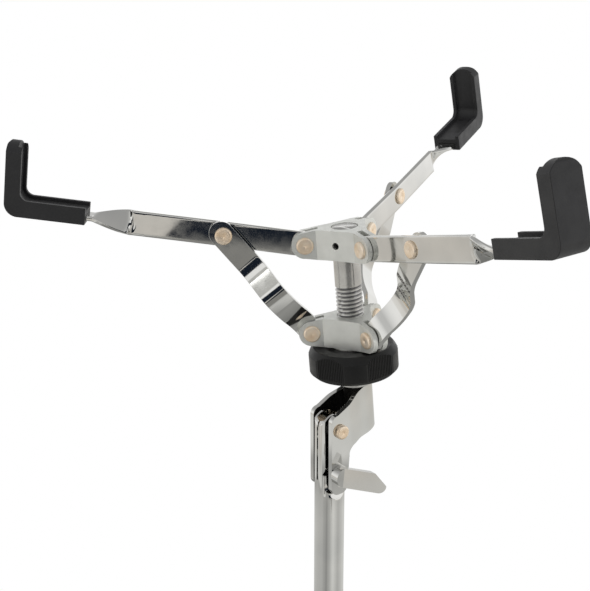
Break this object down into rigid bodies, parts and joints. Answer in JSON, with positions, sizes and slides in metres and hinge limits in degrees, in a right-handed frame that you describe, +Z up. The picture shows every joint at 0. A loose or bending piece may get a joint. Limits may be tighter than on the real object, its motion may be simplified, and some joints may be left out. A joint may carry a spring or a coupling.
{
  "type": "snare drum stand",
  "caption": "Folding drum stand: a tripod and telescopic tube carry a tilting basket whose rubber-tipped arms close on the drum when the hand nut is turned.",
  "frame": {"origin": "centre of the base tip's flat underside, on the floor", "axes": "+Z up along the tubes; the basket tilts in the XZ plane, about an axis along Y"},
  "size_m": [0.5301, 0.612, 0.6847],
  "materials": {
    "chrome": "bright chrome plate",
    "cast_alloy": "satin die casting",
    "plated_rivet": "warm nickel plate",
    "zinc_steel": "zinc plate",
    "dark_steel": "black oxide",
    "brass": "turned",
    "black_plastic": "moulded",
    "black_rubber": "moulded, satin"
  },
  "bodies": {
    "base": {"base_tube": "chrome", "base_tip": "black_rubber", "brace_collar": "cast_alloy", "brace_collar_screw": "dark_steel", "brace_collar_rivets": "plated_rivet", "height_collar": "cast_alloy", "height_bush": "black_plastic", "height_clamp_nut": "zinc_steel"},
    "leg_collar": {"leg_collar": "cast_alloy", "leg_collar_pins": "plated_rivet"},
    "leg_wing": {"leg_wing_bolt": "chrome"},
    "height_wing": {"height_wing_bolt": "chrome"},
    "guide": {"guide_bush": "black_plastic"},
    "upper_post": {"upper_tube": "chrome"},
    "tilter": {"tilter_bracket": "chrome", "tilter_pivot_rivet": "plated_rivet", "tilter_washers": "black_plastic", "tilter_clamp_bolt": "chrome", "basket_rod": "zinc_steel", "rod_collar_nut": "zinc_steel", "upper_hub": "cast_alloy", "hub_set_screw": "dark_steel", "upper_hub_rivets": "plated_rivet"},
    "tilter_wing": {"tilter_wing_nut": "chrome"},
    "lower_hub": {"lower_hub": "cast_alloy", "lower_hub_rivets": "plated_rivet", "thrust_washer": "zinc_steel"},
    "adjusting_nut": {"adjusting_nut": "black_plastic", "nut_insert": "brass"},
    "brace_1": {"brace_1": "chrome"},
    "leg_1": {"leg_1": "chrome", "foot_1": "black_rubber", "leg_rivet_1": "plated_rivet"},
    "arm_1": {"arm_1": "chrome", "grip_1": "black_rubber", "arm_rivet_1": "plated_rivet", "strut_washer_1": "black_plastic"},
    "strut_1": {"strut_1": "chrome"},
    "brace_2": {"brace_2": "chrome"},
    "leg_2": {"leg_2": "chrome", "foot_2": "black_rubber", "leg_rivet_2": "plated_rivet"},
    "arm_2": {"arm_2": "chrome", "grip_2": "black_rubber", "arm_rivet_2": "plated_rivet", "strut_washer_2": "black_plastic"},
    "strut_2": {"strut_2": "chrome"},
    "brace_3": {"brace_3": "chrome"},
    "leg_3": {"leg_3": "chrome", "foot_3": "black_rubber", "leg_rivet_3": "plated_rivet"},
    "arm_3": {"arm_3": "chrome", "grip_3": "black_rubber", "arm_rivet_3": "plated_rivet", "strut_washer_3": "black_plastic"},
    "strut_3": {"strut_3": "chrome"}
  },
  "joints": [
    {"name": "tripod_fold", "type": "slide", "parent": "base", "child": "leg_collar", "axis": [0, 0, 1], "range_m": [0, 0.09374]},
    {"name": "leg_wing_turn", "type": "hinge", "parent": "leg_collar", "child": "leg_wing", "pos_m": [-0.025, 0, 0.17997], "axis": [-1, 0, 0], "range_deg": [0, 180]},
    {"name": "brace_1_swing", "type": "hinge", "parent": "base", "child": "brace_1", "pos_m": [0.028, 0, 0.09546], "axis": [0, -1, 0], "range_deg": [0, 54.05]},
    {"name": "leg_1_swing", "type": "hinge", "parent": "brace_1", "child": "leg_1", "pos_m": [0.10747, 0, 0.13772], "axis": [0, 1, 0], "range_deg": [0, 108.1]},
    {"name": "brace_2_swing", "type": "hinge", "parent": "base", "child": "brace_2", "pos_m": [-0.014, 0.02425, 0.09546], "axis": [0.866, 0.5, 0], "range_deg": [0, 54.05]},
    {"name": "leg_2_swing", "type": "hinge", "parent": "brace_2", "child": "leg_2", "pos_m": [-0.05373, 0.09307, 0.13772], "axis": [-0.866, -0.5, 0], "range_deg": [0, 108.1]},
    {"name": "brace_3_swing", "type": "hinge", "parent": "base", "child": "brace_3", "pos_m": [-0.014, -0.02425, 0.09546], "axis": [-0.866, 0.5, 0], "range_deg": [0, 54.05]},
    {"name": "leg_3_swing", "type": "hinge", "parent": "brace_3", "child": "leg_3", "pos_m": [-0.05373, -0.09307, 0.13772], "axis": [0.866, -0.5, 0], "range_deg": [0, 108.1]},
    {"name": "height_slide", "type": "slide", "parent": "base", "child": "guide", "axis": [0, 0, 1], "range_m": [-0.07, 0.115]},
    {"name": "height_wing_turn", "type": "hinge", "parent": "base", "child": "height_wing", "pos_m": [0.024, 0, 0.317], "axis": [0, -1, 0], "range_deg": [0, 180]},
    {"name": "post_swivel", "type": "hinge", "parent": "guide", "child": "upper_post", "pos_m": [0, 0, 0.117], "axis": [0, 0, 1], "continuous": true},
    {"name": "basket_tilt", "type": "hinge", "parent": "upper_post", "child": "tilter", "pos_m": [0, 0, 0.475], "axis": [0, 1, 0], "range_deg": [-12.5, 8]},
    {"name": "tilter_wing_turn", "type": "hinge", "parent": "tilter", "child": "tilter_wing", "pos_m": [-0.00116, 0, 0.44685], "axis": [0, -1, 0], "range_deg": [0, 180]},
    {"name": "basket_close", "type": "slide", "parent": "tilter", "child": "lower_hub", "axis": [-0.0976, 0, 0.9952], "range_m": [0, 0.01776]},
    {"name": "nut_turn", "type": "hinge", "parent": "lower_hub", "child": "adjusting_nut", "pos_m": [0.01016, 0, 0.59175], "axis": [-0.0976, 0, 0.9952], "range_deg": [0, 2558.53]},
    {"name": "arm_1_swing", "type": "hinge", "parent": "tilter", "child": "arm_1", "pos_m": [0.03202, 0.01062, 0.59389], "axis": [0.4332, -0.9003, 0.0425], "range_deg": [0, 36.35]},
    {"name": "strut_1_swing", "type": "hinge", "parent": "arm_1", "child": "strut_1", "pos_m": [0.07404, 0.0315, 0.608], "axis": [-0.4332, 0.9003, -0.0425], "range_deg": [0, 24.03]},
    {"name": "arm_2_swing", "type": "hinge", "parent": "tilter", "child": "arm_2", "pos_m": [-0.00993, 0.01371, 0.58978], "axis": [0.5594, 0.8271, 0.0548], "range_deg": [0, 36.35]},
    {"name": "strut_2_swing", "type": "hinge", "parent": "arm_2", "child": "strut_2", "pos_m": [-0.05039, 0.04068, 0.5958], "axis": [-0.5594, -0.8271, -0.0548], "range_deg": [0, 24.03]},
    {"name": "arm_3_swing", "type": "hinge", "parent": "tilter", "child": "arm_3", "pos_m": [0.00838, -0.02433, 0.59157], "axis": [-0.9926, 0.0732, -0.0973], "range_deg": [0, 36.35]},
    {"name": "strut_3_swing", "type": "hinge", "parent": "arm_3", "child": "strut_3", "pos_m": [0.00391, -0.07219, 0.60112], "axis": [0.9926, -0.0732, 0.0973], "range_deg": [0, 24.03]}
  ],
  "couplings": [
    {"joint": "brace_1_swing", "follows": "tripod_fold", "rad_per_m": 10.054},
    {"joint": "leg_1_swing", "follows": "tripod_fold", "rad_per_m": 20.108},
    {"joint": "brace_2_swing", "follows": "tripod_fold", "rad_per_m": 10.054},
    {"joint": "leg_2_swing", "follows": "tripod_fold", "rad_per_m": 20.108},
    {"joint": "brace_3_swing", "follows": "tripod_fold", "rad_per_m": 10.054},
    {"joint": "leg_3_swing", "follows": "tripod_fold", "rad_per_m": 20.108},
    {"joint": "nut_turn", "follows": "basket_close", "rad_per_m": 2513.3},
    {"joint": "arm_1_swing", "follows": "basket_close", "rad_per_m": 35.672},
    {"joint": "strut_1_swing", "follows": "basket_close", "rad_per_m": 23.566},
    {"joint": "arm_2_swing", "follows": "basket_close", "rad_per_m": 35.672},
    {"joint": "strut_2_swing", "follows": "basket_close", "rad_per_m": 23.566},
    {"joint": "arm_3_swing", "follows": "basket_close", "rad_per_m": 35.672},
    {"joint": "strut_3_swing", "follows": "basket_close", "rad_per_m": 23.566}
  ]
}
